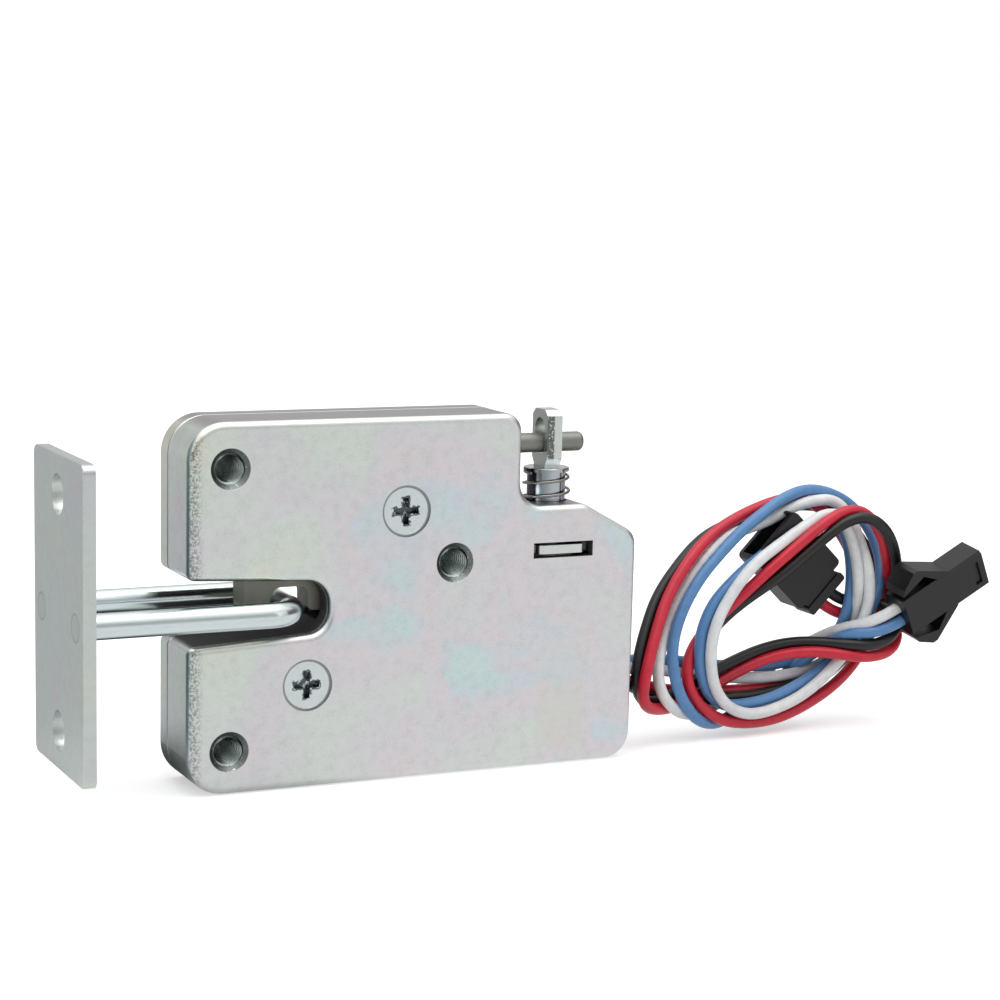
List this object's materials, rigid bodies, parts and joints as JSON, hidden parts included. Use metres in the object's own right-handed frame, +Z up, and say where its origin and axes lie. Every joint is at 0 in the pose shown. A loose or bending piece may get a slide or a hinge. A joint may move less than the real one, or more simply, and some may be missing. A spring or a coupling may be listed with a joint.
{
  "type": "solenoid lock",
  "caption": "Flat metal-cased electric cabinet lock with a rotary latch in a side slot, a pull solenoid with a hand-release eye, and a separate plate striker with a U-rod.",
  "frame": {"origin": "middle of the lock and its striker at the height of the edge it stands on", "axes": "+X along the case away from the slot and the striker, +Y from the front face with the screws to the back, +Z up"},
  "size_m": [0.1664, 0.027, 0.058],
  "materials": {
    "case_zinc": "die-cast zinc, pale passivate, satin",
    "striker_plate_steel": "zinc plated sheet, satin",
    "striker_rod_steel": "bright zinc plated bar",
    "screw_steel": "bright zinc plated",
    "latch_steel": "sintered, grey brown, matte",
    "pin_steel": "ground",
    "lever_steel": "sintered, matte",
    "rod_steel": "drawn, matte grey",
    "spring_steel": "spring wire",
    "yoke_steel": "zinc plated strip",
    "core_steel": "nickel plated, turned",
    "eye_steel": "zinc plated plate",
    "bobbin_plastic": "natural nylon",
    "copper": "enamelled copper wire",
    "switch_plastic": "moulded",
    "button_plastic": "moulded",
    "contact_brass": "tinned brass",
    "grommet_rubber": "moulded rubber",
    "connector_plastic": "moulded nylon, black",
    "coil_leads": "leads' insulation, four colours",
    "lead_red": "lead insulation",
    "lead_black": "lead insulation",
    "lead_white": "lead insulation",
    "lead_blue": "lead insulation"
  },
  "bodies": {
    "case": {"front_shell": "case_zinc", "back_shell": "case_zinc", "case_screws": "screw_steel", "latch_pin": "pin_steel", "latch_spring": "spring_steel", "lever_pin": "pin_steel", "lever_spring": "spring_steel", "solenoid_yoke": "yoke_steel", "coil_bobbin": "bobbin_plastic", "coil_winding": "copper", "pole_piece": "core_steel", "return_spring": "spring_steel", "switch_body": "switch_plastic", "switch_terminals": "contact_brass", "lead_grommet": "grommet_rubber", "lead_coil": "coil_leads", "plug_housing": "connector_plastic", "plug_contacts": "contact_brass", "receptacle_housing": "connector_plastic", "receptacle_contacts": "contact_brass", "lead_red": "lead_red", "lead_black": "lead_black", "lead_white": "lead_white", "lead_blue": "lead_blue"},
    "striker": {"striker_plate": "striker_plate_steel", "striker_rod": "striker_rod_steel"},
    "latch": {"latch": "latch_steel"},
    "release_lever": {"release_lever": "lever_steel", "release_rod": "rod_steel"},
    "plunger": {"plunger": "core_steel", "eye_plate": "eye_steel"},
    "switch_button": {"switch_button": "button_plastic"}
  },
  "joints": [
    {"name": "striker_slide", "type": "slide", "parent": "case", "child": "striker", "axis": [-1, 0, 0], "range_m": [0, 0.017]},
    {"name": "latch_turn", "type": "hinge", "parent": "case", "child": "latch", "pos_m": [-0.0089, 0, 0.0422], "axis": [0, 1, 0], "range_deg": [0, 60]},
    {"name": "lever_turn", "type": "hinge", "parent": "case", "child": "release_lever", "pos_m": [0.0166, 0, 0.0506], "axis": [0, 1, 0], "range_deg": [0, 4]},
    {"name": "plunger_slide", "type": "slide", "parent": "case", "child": "plunger", "axis": [0, 0, -1], "range_m": [0, 0.0035], "stiffness_N_per_m": 300, "springref_m": -0.002, "deforming": ["return_spring"]},
    {"name": "button_slide", "type": "slide", "parent": "case", "child": "switch_button", "axis": [-1, 0, 0], "range_m": [0, 0.001]}
  ],
  "couplings": [
    {"joint": "latch_turn", "follows": "striker_slide", "rad_per_m": 61.59},
    {"joint": "lever_turn", "follows": "striker_slide", "rad_per_m": 4.106},
    {"joint": "plunger_slide", "follows": "striker_slide", "ratio": 0.20588},
    {"joint": "button_slide", "follows": "striker_slide", "ratio": 0.05882}
  ]
}
